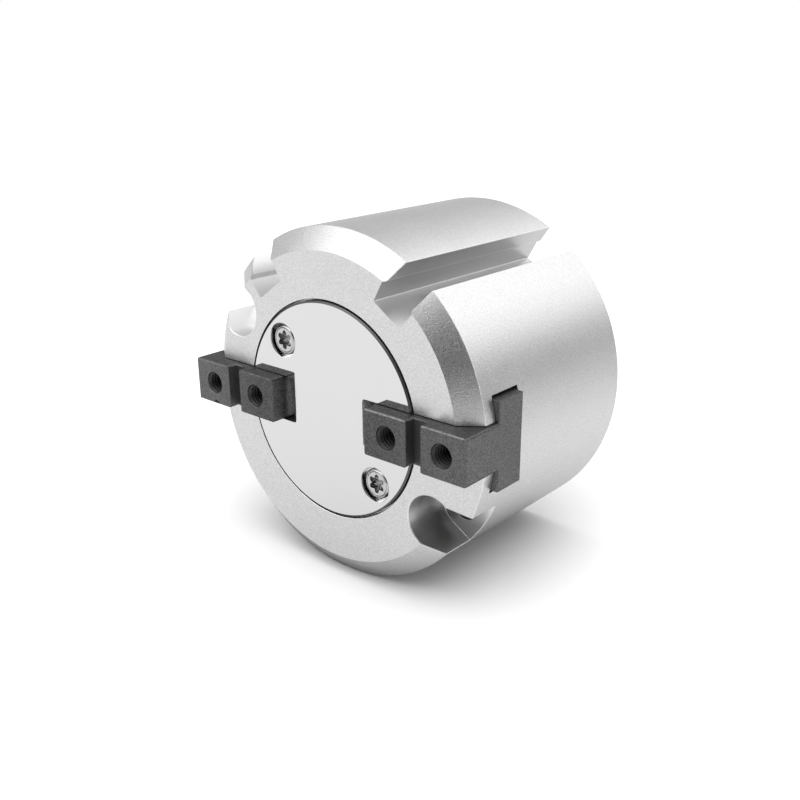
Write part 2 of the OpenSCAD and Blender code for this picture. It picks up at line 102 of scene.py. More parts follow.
class Graph:
    """The nodes of one material, world or geometry tree."""

    def __init__(self, tree):
        self.tree = tree
        tree.nodes.clear()

    def add(self, kind, settings=None, sockets=None, output=0):
        """Adds a node, sets its settings, then fills its sockets with values or links."""
        node = self.tree.nodes.new(kind)
        for key, value in (settings or {}).items():
            setattr(node, key, value)
        for key, value in (sockets or {}).items():
            self.fill(self.find(node.inputs, key), value)
        return Value(self, self.find(node.outputs, output)) if node.outputs else node

    @staticmethod
    def find(sockets, key):
        """The socket with this index, identifier or name."""
        if isinstance(key, int):
            return sockets[key]
        for socket in sockets:
            if socket.identifier == key:
                return socket
        return next(s for s in sockets if s.name == key and s.enabled)

    def fill(self, socket, value):
        """Links a value to the socket, or sets a number, vector or colour on it."""
        if isinstance(value, Value):
            self.tree.links.new(value.socket, socket)
        elif isinstance(value, tuple) and socket.type == "RGBA" and len(value) == 3:
            socket.default_value = (*value, 1.0)
        else:
            socket.default_value = value

    def math(self, operation, *terms, clamp=False):
        """The result of one Math node on these terms."""
        node = self.tree.nodes.new("ShaderNodeMath")
        node.operation = operation
        node.use_clamp = clamp
        for socket, term in zip(node.inputs, terms):
            self.fill(socket, term)
        return Value(self, node.outputs[0])

    def pick(self, index, values):
        """The value at this place in the list."""
        node = self.tree.nodes.new("GeometryNodeIndexSwitch")
        node.data_type = "FLOAT"
        while len(node.index_switch_items) < len(values):
            node.index_switch_items.new()
        self.fill(node.inputs[0], index)
        for socket, value in zip(node.inputs[1:], values):
            self.fill(socket, value)
        return Value(self, node.outputs[0])

    def step(self, value, low, high):
        """Rises smoothly from 0 to 1 as the value goes from low to high."""
        return self.add(
            "ShaderNodeMapRange",
            {"interpolation_type": "SMOOTHSTEP"},
            {"Value": value, "From Min": low, "From Max": high},
        )

    def blend(self, factor, first, second):
        """A colour between first and second."""
        return self.add(
            "ShaderNodeMix",
            {"data_type": "RGBA"},
            {"Factor_Float": factor, "A_Color": first, "B_Color": second},
            "Result_Color",
        )

    def place(self, scale=(1.0, 1.0, 1.0)):
        """Object coordinates times a scale, so a pattern runs finer along a larger scale."""
        spot = self.add("ShaderNodeTexCoord", output="Object")
        return self.add("ShaderNodeMapping", {}, {"Vector": spot, "Scale": scale})

    def noise(self, spot, size, detail=2.0, roughness=0.5):
        """Noise from 0 to 1 whose blotches are about size metres across."""
        sockets = {"Vector": spot, "Scale": 1.0 / size, "Detail": detail}
        return self.add("ShaderNodeTexNoise", {}, {**sockets, "Roughness": roughness})

    def bump(self, height, depth):
        """A normal for a surface whose height map spans depth metres."""
        return self.add("ShaderNodeBump", {}, {"Height": height, "Distance": depth})


def finish(name, build):
    """A material whose one Principled surface is filled by build(graph)."""
    material = bpy.data.materials.new(name)
    material.use_nodes = True
    graph = Graph(material.node_tree)
    surface = graph.add("ShaderNodeBsdfPrincipled", {}, build(graph))
    graph.add("ShaderNodeOutputMaterial", {}, {"Surface": surface})
    return material


# ------------------------------------------------------------------- finishes

BROAD_CLOUD = 7 * MM
SHEET_CLOUD = 11 * MM
SMEAR_SIZE = 2.2 * MM
SMEAR_SCALE = (1.0, 1.0, 2.5)
DUSTY = (0.5, 0.8)


def grey(level):
    return (level, level, level)


def swing(noise, width):
    """A change of up to half the width either way, from noise between 0 and 1."""
    return (noise - 0.5) * width


def scaled(graph, colour, shade):
    """The colour made lighter or darker by a shade that varies."""
    sockets = {0: colour, "Scale": shade}
    return graph.add("ShaderNodeVectorMath", {"operation": "SCALE"}, sockets)


def object_axes(graph):
    """The X, Y and Z of the Object coordinates."""
    parts = graph.add("ShaderNodeSeparateXYZ", {}, {"Vector": graph.place()})
    return [Value(graph, socket) for socket in parts.socket.node.outputs]


def blasted(colour, rough):
    """Bead-blasted and anodised aluminium: a fine sparkling grain with faint clouding."""
    grain = 0.19 * MM
    depth = 0.038 * MM
    bright = (0.30, 0.70)

    def build(graph):
        spot = graph.place()
        dents = graph.noise(spot, grain, 1.0, 0.6)
        clouds = graph.noise(spot, BROAD_CLOUD, 2.0)
        flakes = graph.step(graph.noise(spot, grain, 0.0), *bright)
        return {
            "Base Color": scaled(graph, colour, 0.89 + clouds * 0.05 + flakes * 0.17),
            "Metallic": 1.0,
            "Roughness": rough + swing(dents, 0.2) + swing(clouds, 0.06),
            "Normal": graph.bump(dents, depth),
        }

    return build


def polished(colour, rough):
    """Polished stainless sheet: a near mirror with hairlines and a faint unevenness."""
    hair, hair_scale = 1.4 * MM, (1.0, 1.0, 22.0)
    depth = 0.0012 * MM

    def build(graph):
        hairs = graph.noise(graph.place(hair_scale), hair, 2.0)
        clouds = graph.noise(graph.place(), SHEET_CLOUD, 1.0)
        return {
            "Base Color": scaled(graph, colour, 0.985 + hairs * 0.01 + clouds * 0.015),
            "Metallic": 1.0,
            "Roughness": rough + swing(hairs, 0.02) + swing(clouds, 0.02),
            "Normal": graph.bump(clouds * 0.9 + hairs * 0.1, depth),
        }

    return build


def satin(colour, rough, light=None):
    """Fine satin metal: nearly even, with a faint straight grain and small clouds.

    The shade is multiplied by light(graph) where one is given."""
    grain_size, grain_scale = 1.6 * MM, (1.0, 1.0, 14.0)
    depth = 0.0006 * MM

    def build(graph):
        grain = graph.noise(graph.place(grain_scale), grain_size, 2.0)
        clouds = graph.noise(graph.place(), SHEET_CLOUD, 1.0)
        shade = 0.985 + grain * 0.015 + clouds * 0.015
        return {
            "Base Color": scaled(graph, colour, shade * light(graph) if light else shade),
            "Metallic": 1.0,
            "Roughness": rough + swing(grain, 0.05),
            "Normal": graph.bump(grain, depth),
        }

    return build


def turned(colour, rough):
    """Lathe-turned metal: fine rings around the tool axis."""
    pitch = 0.12 * MM
    wander_size = 3 * MM
    depth = 0.0016 * MM

    def build(graph):
        across, along, up = object_axes(graph)
        radius = (across * across + up * up) ** 0.5
        rings = graph.math("SINE", (radius + along) * (math.tau / pitch))
        wander = graph.noise(graph.place(), wander_size, 2.0)
        clouds = graph.noise(graph.place(), BROAD_CLOUD, 2.0)
        return {
            "Base Color": scaled(graph, colour, 0.93 + rings * 0.02 + clouds * 0.1),
            "Metallic": 1.0,
            "Roughness": rough + swing(wander, 0.1),
            "Normal": graph.bump(rings * (0.6 + wander * 0.4), depth),
        }

    return build


def dark_steel(colour, rough, metallic=0.55):
    """Heat-treated dark steel: matt, finely speckled and slightly smeared."""
    speck_size = 0.2 * MM
    depth = 0.012 * MM

    def build(graph):
        speck = graph.noise(graph.place(), speck_size, 1.0, 0.7)
        smear = graph.noise(graph.place(SMEAR_SCALE), SMEAR_SIZE, 3.0)
        return {
            "Base Color": scaled(graph, colour, 0.72 + speck * 0.4 + smear * 0.16),
            "Metallic": metallic,
            "Roughness": rough + swing(speck, 0.14),
            "Normal": graph.bump(speck, depth),
        }

    return build


WORN = (0.36, 0.36, 0.35)
DULL_RIM = grey(0.25)
JAW_SPECK = 0.26 * MM
JAW_DEPTH = 0.02 * MM
STREAK_SIZE, STREAK_SCALE = 0.34 * MM, (0.6, 1.0, 1.0)
PATCH_SIZE = 2.6 * MM
PAD_TOP = 4.0 * MM
# The worn line: how far behind the pads' front and below their top it fades in.
LINE_BEHIND = (0.36 * MM, 0.14 * MM)
LINE_BELOW = (0.34 * MM, 0.14 * MM)
WEAR_GROWS_X = (-6 * MM, 12 * MM)
# The dark spot at the left finger's lower edge.
MARK_X, MARK_Z, MARK_R = -26.4 * MM, -4.0 * MM, 0.85 * MM
# The steel is paler towards the fingers' outer ends, and painted lighter and less metallic where
# the cover shades it: painted light in the cover's shade.
PALER_X = (13 * MM, 28 * MM)
SHADED_X = (11 * MM, 12.5 * MM)
SHADED_Y = (FACE_Y - 0.2 * MM, FACE_Y + 1.2 * MM)


def jaw_steel(colour, rough, worn):
    """Dark jaw steel, rubbed pale in a broken line along the pads' upper front edges."""

    def worn_share(graph, across, along, up, streaks, patches):
        """How far the dark skin is rubbed off: along the line, and lightly elsewhere."""
        front = graph.step(-along, *[-PAD_FRONT_Y - behind for behind in LINE_BEHIND])
        above = graph.step(up, *[PAD_TOP - below for below in LINE_BELOW])
        share = graph.step(across, *WEAR_GROWS_X) * 0.7 + swing(patches, 0.9)
        line = front * above * graph.step(streaks + share * 0.3, 0.50, 0.74)
        return (line * 0.8 + graph.step(streaks, 0.56, 0.8) * 0.12) * worn

    def build(graph):
        across, along, up = object_axes(graph)
        spot = graph.place()
        speck = graph.noise(spot, JAW_SPECK, 1.0, 0.7)
        smear = graph.noise(graph.place(SMEAR_SCALE), SMEAR_SIZE, 3.0)
        streaks = graph.noise(graph.place(STREAK_SCALE), STREAK_SIZE, 2.0, 0.6)
        patches = graph.noise(spot, PATCH_SIZE, 1.0)
        rubbed = worn_share(graph, across, along, up, streaks, patches)
        mark_x, mark_z = (across - MARK_X) / MARK_R, (up - MARK_Z) / MARK_R
        mark = 1.0 - graph.step((mark_x * mark_x + mark_z * mark_z) ** 0.5, 0.75, 1.0)
        outward = graph.step(abs(across), *PALER_X) * 0.24
        outward = outward + graph.step(-across, *PALER_X) * 0.26
        # Painted light: lighter and less metallic where the cover shades the fingers' inner ends.
        cover_shade_lift = 1.0 - graph.step(abs(across), *SHADED_X)
        cover_shade_lift = cover_shade_lift * graph.step(along, *SHADED_Y)
        shade = 0.50 + graph.step(speck, 0.28, 0.72) * 0.72 + smear * 0.2 + outward
        shade = shade * (1.0 - mark * 0.7) * (1.0 + cover_shade_lift * 0.5)
        return {
            "Base Color": graph.blend(rubbed, scaled(graph, colour, shade), WORN),
            "Metallic": 0.9 - cover_shade_lift * 0.9,
            "Specular Tint": DULL_RIM,
            "Roughness": rough + swing(speck, 0.2),
            "Normal": graph.bump(speck, JAW_DEPTH),
        }

    return build


def screw_steel(colour, rough):
    """Bright screw steel, with painted shade below its face."""
    cloud_size = 0.5 * MM
    shaded_below_face = (SCREW_FACE_Y + 0.05 * MM, SCREW_FACE_Y + 0.28 * MM)
    depth = 0.004 * MM

    def build(graph):
        along = object_axes(graph)[1]
        clouds = graph.noise(graph.place(), cloud_size, 2.0)
        # Painted shade: darker where the screw sinks below the cover's face.
        sunk = graph.step(along, *shaded_below_face)
        return {
            "Base Color": scaled(graph, colour, (0.80 + clouds * 0.4) * (1.0 - sunk * 0.48)),
            "Metallic": 1.0,
            "Roughness": rough + swing(clouds, 0.12),
            "Normal": graph.bump(clouds, depth),
        }

    return build


def plated(colour, rough):
    """Bright plated steel with slight clouding."""
    cloud_size = 0.7 * MM
    depth = 0.004 * MM

    def build(graph):
        clouds = graph.noise(graph.place(), cloud_size, 2.0)
        return {
            "Base Color": graph.blend(clouds, tuple(c * 0.86 for c in colour), colour),
            "Metallic": 1.0,
            "Roughness": rough + swing(clouds, 0.12),
            "Normal": graph.bump(clouds, depth),
        }

    return build


def moulded(colour, rough):
    """Rubber, urethane or bonded ferrite: matt, with a soft moulded grain and some dust."""
    grain_size, dust_size = 0.3 * MM, 2.5 * MM
    depth = 0.006 * MM

    def build(graph):
        grain = graph.noise(graph.place(), grain_size, 2.0)
        dust = graph.step(graph.noise(graph.place(), dust_size, 3.0), *DUSTY)
        lighter = tuple(min(1.0, c * 1.5 + 0.02) for c in colour)
        return {
            "Base Color": graph.blend(dust * 0.5, colour, lighter),
            "Roughness": rough + swing(grain, 0.12),
            "Normal": graph.bump(grain, depth),
        }

    return build


def sintered(colour, rough):
    """Sintered bronze: open pores in a dull metal."""
    pore_size, closed = 0.18 * MM, (0.32, 0.45)
    depth = 0.008 * MM

    def build(graph):
        pores = graph.step(graph.noise(graph.place(), pore_size, 1.0), *closed)
        return {
            "Base Color": graph.blend(pores, tuple(c * 0.35 for c in colour), colour),
            "Metallic": 0.9,
            "Roughness": rough + (1.0 - pores) * 0.3,
            "Normal": graph.bump(pores, depth),
        }

    return build


# Painted shade in the right notch: darker towards its bottom, and over its wall away from the upper
# front.
NOTCH_BOTTOM_Z = -17.6 * MM
FLOOR_FULL_Z = -14.8 * MM
WALL_LIGHTER_Z = -14.6 * MM
# Where the wall gets lighter, from the rear face towards -Y.
WALL_LIGHTER_OUT = (40 * MM, 42.4 * MM)
NOTCH_FLOOR_SHADED, FLOOR_FULL = 0.64, 1.0
NOTCH_WALL_SHADED, WALL_LIGHTER = 0.53, 0.83


def floor_painted_shade(graph):
    """Painted shade at the bottom of the right notch's floor, and the full colour above it."""
    up = object_axes(graph)[2]
    share = graph.step(up, NOTCH_BOTTOM_Z, FLOOR_FULL_Z)
    return NOTCH_FLOOR_SHADED + share * (FLOOR_FULL - NOTCH_FLOOR_SHADED)


def wall_painted_shade(graph):
    """Painted shade over the right notch's wall, lighter at its upper front."""
    along, up = object_axes(graph)[1:]
    share = graph.step(-along, *WALL_LIGHTER_OUT) * graph.step(up, NOTCH_BOTTOM_Z, WALL_LIGHTER_Z)
    return NOTCH_WALL_SHADED + share * (WALL_LIGHTER - NOTCH_WALL_SHADED)


FINISHES = {
    "body": finish("blasted_aluminium", blasted(grey(0.80), 0.34)),
    # The broken edges are paler: partly the edges' own lighter finish, partly a painted highlight
    # along them.
    "body_edge": finish("blasted_edge", blasted(grey(0.95), 0.30)),
    # The cuts on the left are a lighter copy of the milled finish: painted light on faces that turn
    # up to the sky.
    "left_cut": finish("bright_milled_cut", satin(grey(0.88), 0.38)),
    # The grooves are a darker copy of the milled finish: painted shade in the grooves.
    "groove": finish("dull_milled_groove", satin(grey(0.71), 0.34)),
    # The right notch's wall and floor carry painted shade, darker towards the bottom.
    "bore": finish("dull_milled_bore", satin(grey(0.80), 0.38, wall_painted_shade)),
    "faced": finish("faced_aluminium", satin(grey(0.95), 0.24, floor_painted_shade)),
    "cover": finish("polished_cover", polished(grey(0.86), 0.06)),
    # The cover's rim and the cut-outs' long walls are painted dark: painted shade in the narrow
    # gaps beside them.
    "cover_rim": finish("turned_cover_rim", dark_steel(grey(0.15), 0.35, 0.9)),
    "pocket": finish("cover_pocket", polished(grey(0.86), 0.14)),
    "cut_end": finish("cover_cut_end", dark_steel(grey(0.62), 0.5, 0.0)),
    "screws": finish("bright_screw", screw_steel(grey(0.68), 0.22)),
    "fingers": finish("dark_jaw_steel", jaw_steel((0.135, 0.135, 0.137), 0.50, 0.0)),
    # The key slots are painted darker than the jaw steel: painted shade in the slots.
    "finger_slot": finish("dark_jaw_slot", dark_steel(grey(0.066), 0.5)),
    # The head behind the cover is paler and matt: painted light on a face that the cover shades.
    "finger_head": finish("sunk_jaw_head", dark_steel(grey(0.17), 0.6, 0.0)),
    # The ends are a lighter copy of the jaw steel: partly their own milled finish, partly painted
    # light on the sides.
    "finger_end": finish("milled_jaw_end", jaw_steel((0.18, 0.18, 0.182), 0.48, 0.0)),
    "finger_edge": finish("rubbed_jaw_edge", jaw_steel(grey(0.14), 0.46, 1.0)),
    "cut_thread": finish("dark_thread", dark_steel((0.05, 0.05, 0.052), 0.45)),
    "bare_thread": finish("bare_thread", plated((0.70, 0.70, 0.71), 0.3)),
    "cam": finish("ground_cam_steel", satin((0.32, 0.32, 0.33), 0.32)),
    "piston": finish("turned_piston", turned((0.70, 0.71, 0.73), 0.32)),
    "cap": finish("turned_cap", turned((0.74, 0.75, 0.76), 0.34)),
    "magnet": finish("bonded_ferrite", moulded(grey(0.07), 0.62)),
    "seals": finish("nitrile_rubber", moulded(grey(0.03), 0.48)),
    "bumpers": finish("urethane", moulded((0.30, 0.15, 0.06), 0.42)),
    "bush": finish("sintered_bronze", sintered((0.60, 0.42, 0.20), 0.45)),
    "bolt": finish("black_oxide_bolt", dark_steel((0.06, 0.06, 0.065), 0.42, 0.7)),
    "spring_steel": finish("phosphated_ring", dark_steel((0.075, 0.075, 0.08), 0.5, 0.6)),
}


def dress_node(node):
    """Gives a CAD node that no piece stands for the finish of its own slot."""
    slots = NODES[node].material_slots
    slots[0].material = FINISHES[slots[0].material.name.split(".")[0]]


# ---------------------------------------------------------------- mesh making

MERGED = 0.002 * MM
FLAT_ANGLE = math.radians(0.1)
SHARP_ANGLE = math.radians(28)
SQUARE_ANGLE = math.radians(50)
# The short steps of a round mouth are below this length.
MOUTH_STEP = 0.6 * MM


def linked(name, data):
    """A new object around the data, in the scene."""
    thing = bpy.data.objects.new(name, data)
    bpy.context.collection.objects.link(thing)
    return thing


def add_piece(name, mesh, body, slot, *nodes):
    """Links a finished mesh as a piece that rides on body and stands for these nodes."""
    piece = linked(name, mesh)
    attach(piece, body)
    if nodes:
        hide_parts(*nodes)


def baked_mesh(host, name):
    """The host's mesh with its modifiers worked in. The host is removed."""
    graph = bpy.context.evaluated_depsgraph_get()
    mesh = bpy.data.meshes.new_from_object(host.evaluated_get(graph))
    mesh.name = name
    old = host.data
    bpy.data.objects.remove(host)
    bpy.data.meshes.remove(old)
    return mesh


def node_bmesh(node):
    """A CAD node's shape, merged, with its flat faces joined."""
    shape = bmesh.new()
    shape.from_mesh(NODES[node].data)
    bmesh.ops.remove_doubles(shape, verts=shape.verts, dist=MERGED)
    bmesh.ops.dissolve_limit(shape, angle_limit=FLAT_ANGLE, verts=shape.verts, edges=shape.edges)
    return shape


def plain_share(edge):
    """The share of the width at an edge: outer square edges only, and half at round mouths."""
    if not edge.is_convex or edge.calc_face_angle() < SQUARE_ANGLE:
        return 0.0
    return 1.0 if edge.calc_length() > MOUTH_STEP else 0.5


def box_of(corners):
    """The low and the high corner of the box around the vertices."""
    return [
        [pick(corner.co[axis] for corner in corners) for axis in range(3)] for pick in (min, max)
    ]


def evenly_shaded(mesh, name, rounded, box):
    """The mesh with crisp sharp edges, and normals that follow the larger faces.

    The rounded edges come in the last slot, and move to the slot before it. Nothing
    leaves the box."""
    shape = bmesh.new()
    shape.from_mesh(mesh)
    for corner in shape.verts:
        corner.co = [min(max(value, low), high) for value, low, high in zip(corner.co, *box)]
    for edge in shape.edges:
        inside = all(face.material_index == rounded for face in edge.link_faces)
        edge.smooth = inside or edge.calc_face_angle(0.0) < SHARP_ANGLE
    for face in shape.faces:
        face.material_index = min(face.material_index, rounded - 1)
    shape.to_mesh(mesh)
    shape.free()
    mesh.materials.pop()
    host = linked(name, mesh)
    normals = host.modifiers.new("normals", "WEIGHTED_NORMAL")
    normals.mode = "FACE_AREA_WITH_ANGLE"
    normals.keep_sharp = True
    return baked_mesh(host, name)


def broken_edges(shape, name, finishes, width, segments=2, chosen=None, share=plain_share):
    """A mesh of the shape with its sharp edges rounded over width, in the last finish.

    Each edge gets its share of the width. A face gets the finish that chosen names."""
    box = box_of(shape.verts)
    weights = shape.edges.layers.float.new("bevel_weight_edge")
    for edge in shape.edges:
        sharp = edge.calc_face_angle(0.0) > SHARP_ANGLE
        edge[weights] = share(edge) if sharp else 0.0
    mesh = bpy.data.meshes.new(name)
    shape.to_mesh(mesh)
    shape.free()
    for key in (*finishes, finishes[-1]):
        mesh.materials.append(FINISHES[key])
    for face in mesh.polygons:
        face.material_index = finishes.index(chosen(face)) if chosen else 0
    mesh.shade_smooth()
    host = linked(name, mesh)
    bevel = host.modifiers.new("edges", "BEVEL")
    bevel.width = width
    bevel.segments = segments
    bevel.limit_method = "WEIGHT"
    bevel.use_clamp_overlap = False
    bevel.material = len(finishes)
    return evenly_shaded(baked_mesh(host, name), name, len(finishes), box)


# ------------------------------------------------------------- geometry trees

SEAM = 0.0015 * MM


def geometry_tree(name, sizes, build):
    """A tree that sets build(graph, values) on each point of its mesh.

    The sizes are its named inputs, and Turn and Finish are added to them."""
    tree = bpy.data.node_groups.new(name, "GeometryNodeTree")
    inputs = {"Places": "Geometry"}
    inputs.update(dict.fromkeys(sizes, "Float"), Turn="Vector", Finish="Material")
    for label, kind in inputs.items():
        tree.interface.new_socket(name=label, in_out="INPUT", socket_type=f"NodeSocket{kind}")
    tree.interface.new_socket(name="Mesh", in_out="OUTPUT", socket_type="NodeSocketGeometry")
    graph = Graph(tree)
    ends = graph.add("NodeGroupInput").socket.node.outputs
    values = {socket.name: Value(graph, socket) for socket in ends if socket.name}
    shape = build(graph, values)
    turn = graph.add("FunctionNodeEulerToRotation", {}, {0: values["Turn"]})
    points = graph.add("GeometryNodeMeshToPoints", {}, {"Mesh": values["Places"]})
    sockets = {"Points": points, "Instance": shape, "Rotation": turn}
    copies = graph.add("GeometryNodeInstanceOnPoints", {}, sockets)
    solid = graph.add("GeometryNodeRealizeInstances", {}, {0: copies})
    graph.add("NodeGroupOutput", {}, {
        "Mesh": graph.add("GeometryNodeSetMaterial", {}, {0: solid, "Material": values["Finish"]}),
    })
    return tree


def grown_mesh(name, tree, places, turn, material, angle=35.0, **sizes):
    """The tree's mesh at these places, with sizes such as Head_Diameter in metres.

    Edges above the angle, in degrees, stay crisp."""
    seeds = bpy.data.meshes.new(name)
    seeds.from_pydata([tuple(place) for place in places], [], [])
    host = linked(name, seeds)
    maker = host.modifiers.new("maker", "NODES")
    maker.node_group = tree
    given = {label.replace("_", " "): size for label, size in sizes.items()}
    given.update(Turn=turn, Finish=material)
    for item in tree.interface.items_tree:
        if item.item_type == "SOCKET" and item.name in given:
            maker[item.identifier] = given[item.name]
    mesh = baked_mesh(host, name)
    mesh.shade_smooth()
    mesh.set_sharp_from_angle(angle=math.radians(angle))
    return mesh


def spun_surface(graph, around, rows, radius, height):
    """A closed surface about Z, from radius(turn, row) and height(row)."""
    sockets = {"Size X": 1.0, "Size Y": 1.0, "Vertices X": around + 1, "Vertices Y": rows}
    grid = graph.add("GeometryNodeMeshGrid", {}, sockets)
    spot = graph.add("GeometryNodeInputPosition")
    parts = graph.add("ShaderNodeSeparateXYZ", {}, {"Vector": spot}).socket.node.outputs
    turn = (Value(graph, parts["X"]) + 0.5) * math.tau
    row = graph.math("ROUND", (Value(graph, parts["Y"]) + 0.5) * (rows - 1.0))
    reach = radius(turn, row)
    place = graph.add("ShaderNodeCombineXYZ", {}, {
        "X": graph.math("COSINE", turn) * reach,
        "Y": graph.math("SINE", turn) * reach,
        "Z": height(row),
    })
    sockets = {"Geometry": grid, "Position": place}
    spun = graph.add("GeometryNodeSetPosition", {}, sockets)
    return graph.add("GeometryNodeMergeByDistance", {}, {"Geometry": spun, "Distance": SEAM})


SCREW_FACETS = 96
LOBES = 6.0


def screw_shape(graph, size):
    """A low cylinder-head screw with a six-lobe recess, its face on Z = 0."""
    head, shank = size["Head Diameter"] * 0.5, size["Thread Diameter"] * 0.5
    edge, recess, lobe = size["Edge"], size["Recess Diameter"] * 0.5, size["Lobe"]
    seat, floor, tip = -size["Head Height"], -size["Recess Depth"], -size["Length"]
    none = 0.0
    # Each station is its mean radius, its height and how far the lobes swing its radius.
    stations = [
        (none, tip, none), (shank * 0.8, tip, none), (shank, tip + shank * 0.25, none),
        (shank, seat, none), (head - edge * 0.3, seat, none), (head, seat + edge * 0.3, none),
        (head, edge * -1.1, none), (head - edge * 0.1, edge * -0.9, none),
        (head - edge * 0.9, edge * -0.1, none), (head - edge * 1.05, none, none),
        (head - edge * 1.15, none, none), (head - edge * 1.45, edge * -0.6, none),
        (head - edge * 1.75, edge * -0.08, none), (head - edge * 1.85, edge * -0.05, none),
        (recess + lobe + edge * 0.6, edge * -0.05, lobe * 0.6),
        (recess + edge * 0.3, edge * -0.05, lobe),
        (recess + edge * 0.1, edge * -0.15, lobe), (recess, edge * -0.45, lobe),
        (recess * 0.95, floor, lobe), (recess * 0.88, floor - edge * 0.2, lobe),
        (recess * 0.3, floor - recess * 0.25, none), (none, floor - recess * 0.35, none),
    ]
    fullness, evening = 0.25, 0.12

    def radius(turn, row):
        wave = graph.math("COSINE", turn * LOBES + math.pi)
        broad = wave + (1.0 - wave * wave) * fullness
        mean, swung = [graph.pick(row, [station[i] for station in stations]) for i in (0, 2)]
        return graph.math("MAXIMUM", mean + swung * (broad - evening), 0.0)

    def height(row):
        return graph.pick(row, [station[1] for station in stations])

    return spun_surface(graph, SCREW_FACETS, len(stations), radius, height)


THREAD_FACETS = 40
THREAD_TURNS = 16
ROWS_PER_TURN = 12
# The shares of a pitch that the thread's root and its two flanks take.
ROOT, FLANK = 0.22, 0.56
LEAD_IN = 0.9


def thread_shape(graph, size):
    """The cut thread of a hole, from Z = 0 down, in a thin sleeve that the hole's wall hides."""
    rows = THREAD_TURNS * ROWS_PER_TURN + 3
    last = rows - 1.0
    wall, major = size["Wall Diameter"] * 0.5, size["Major Diameter"] * 0.5
    depth, pitch, length = size["Thread Height"], size["Pitch"], size["Length"]

    def down(row):
        return graph.math("DIVIDE", row - 1.0, last - 3.0, clamp=True) * length

    def radius(turn, row):
        """The thread's own radius, or the wall's in the first two and the last two rows."""
        sunk = down(row)
        lap = graph.math("FRACT", sunk / pitch + turn / math.tau)
        saw = abs(lap * 2.0 - 1.0)
        crest = graph.math("MULTIPLY", saw - ROOT, 1.0 / FLANK, clamp=True)
        cut = major - graph.math("MINIMUM", crest * depth, sunk * LEAD_IN)
        at_end = graph.math("COMPARE", abs(row - last * 0.5), last * 0.5 - 0.5, 0.7)
        return cut + (wall - cut) * at_end

    def height(row):
        """Down the hole row by row, and back to Z = 0 in the last row."""
        back = graph.math("COMPARE", row, last, 0.4)
        return -down(row) * (1.0 - back)

    return spun_surface(graph, THREAD_FACETS, rows, radius, height)


# ---------------------------------------------------------------- the pieces

BOLT_CIRCLE_R = MOUNTS["through_bolts"]["dims"]["pcd_mm"] * MM / 2
NOTCH_ANGLES = (-32.0, 148.0)
NOTCH_FLOOR_Y = -33.8 * MM
GROOVE_ANGLES = (55.0, 125.0)
ON_LINE = 0.1 * MM

# Where the faces of a cut lie: beyond a distance from the axis, and within a half width.
GROOVE_INNER_R, GROOVE_HALF_W = 23 * MM, 3.75 * MM
NOTCH_INNER_R, NOTCH_HALF_W = 21.2 * MM, 4.85 * MM
NOTCH_MOUTH_R, NOTCH_MOUTH_DEPTH = 4.9 * MM, 3 * MM
ROUND_SIDE_R = 30.6 * MM
FRONT_DEPTH = 5 * MM

EDGE_WIDTHS = {
    "body": 0.2 * MM, "cover": 0.11 * MM, "finger": 0.42 * MM, "cap": 0.15 * MM, "ring": 0.08 * MM,
}


def around(radius, angle):
    """The X and Z of a place this far from the axis."""
    return radius * math.cos(math.radians(angle)), radius * math.sin(math.radians(angle))


def local(spot, angle):
    """How far a place is from the axis along a direction, and across it."""
    cos, sin = math.cos(math.radians(angle)), math.sin(math.radians(angle))
    return spot.x * cos + spot.z * sin, abs(spot.z * cos - spot.x * sin)


def in_groove(spot, angle):
    """Whether a place is in the sensor groove at this angle."""
    along, across = local(spot, angle)
    return along > GROOVE_INNER_R and across < GROOVE_HALF_W


def in_notch(spot, angle):
    """Whether a place is in the bolt's open counterbore at this angle."""
    along, across = local(spot, angle)
    below = spot.y < NOTCH_FLOOR_Y + ON_LINE
    return below and along > NOTCH_INNER_R and across < NOTCH_HALF_W


def off_axis(spot, x=0.0, z=0.0):
    """How far a place is from the tool axis, or from a line along it through x and z."""
    return math.hypot(spot.x - x, spot.z - z)


BODY_FINISHES = ("body", "left_cut", "groove", "bore", "faced", "body_edge")


def body_finish(face):
    """The finish of a face: of the cuts on the left, a groove, a notch, or the blasted rest."""
    level, turned_in = 0.6, -0.2
    spot = face.center
    flat = abs(face.normal.y) > level
    if off_axis(spot) > ROUND_SIDE_R or flat and spot.y < FACE_Y + FRONT_DEPTH:
        return "body"
    right, left = [in_notch(spot, angle) for angle in NOTCH_ANGLES]
    if right or left:
        return "faced" if flat else "bore" if right else "left_cut"
    right, left = [in_groove(spot, angle) for angle in GROOVE_ANGLES]
    outward = Vector((spot.x, 0.0, spot.z)).normalized().dot(face.normal)
    if right or left and outward < turned_in:
        return "groove"
    return "left_cut" if left else "body"


def body_share(edge):
    """Less than plain_share, but full round a notch's mouth.

    The corner of a notch's wall and floor and the long edges in a groove are broken too."""
    cut_share, long_edge = 0.6, 5 * MM
    rim, deep = BODY_R - 0.2 * MM, BODY_R - 1.5 * MM
    spots = [corner.co for corner in edge.verts]
    reaches = [off_axis(spot) for spot in spots]
    on_floor = all(abs(spot.y - NOTCH_FLOOR_Y) < ON_LINE for spot in spots)
    if on_floor and not edge.is_convex and min(reaches) < rim:
        return cut_share
    grooved = any(all(in_groove(spot, angle) for spot in spots) for angle in GROOVE_ANGLES)
    if grooved and max(reaches) < deep:
        return cut_share if abs(spots[0].y - spots[1].y) > long_edge else 0.0
    mouths = [around(BOLT_CIRCLE_R, angle) for angle in NOTCH_ANGLES]
    on_mouth = any(
        all(off_axis(spot, x, z) < NOTCH_MOUTH_R for spot in spots) for x, z in mouths
    )
    if on_mouth and max(spot.y for spot in spots) < FACE_Y + NOTCH_MOUTH_DEPTH:
        return 1.0 if edge.is_convex else 0.0
    return plain_share(edge) * cut_share


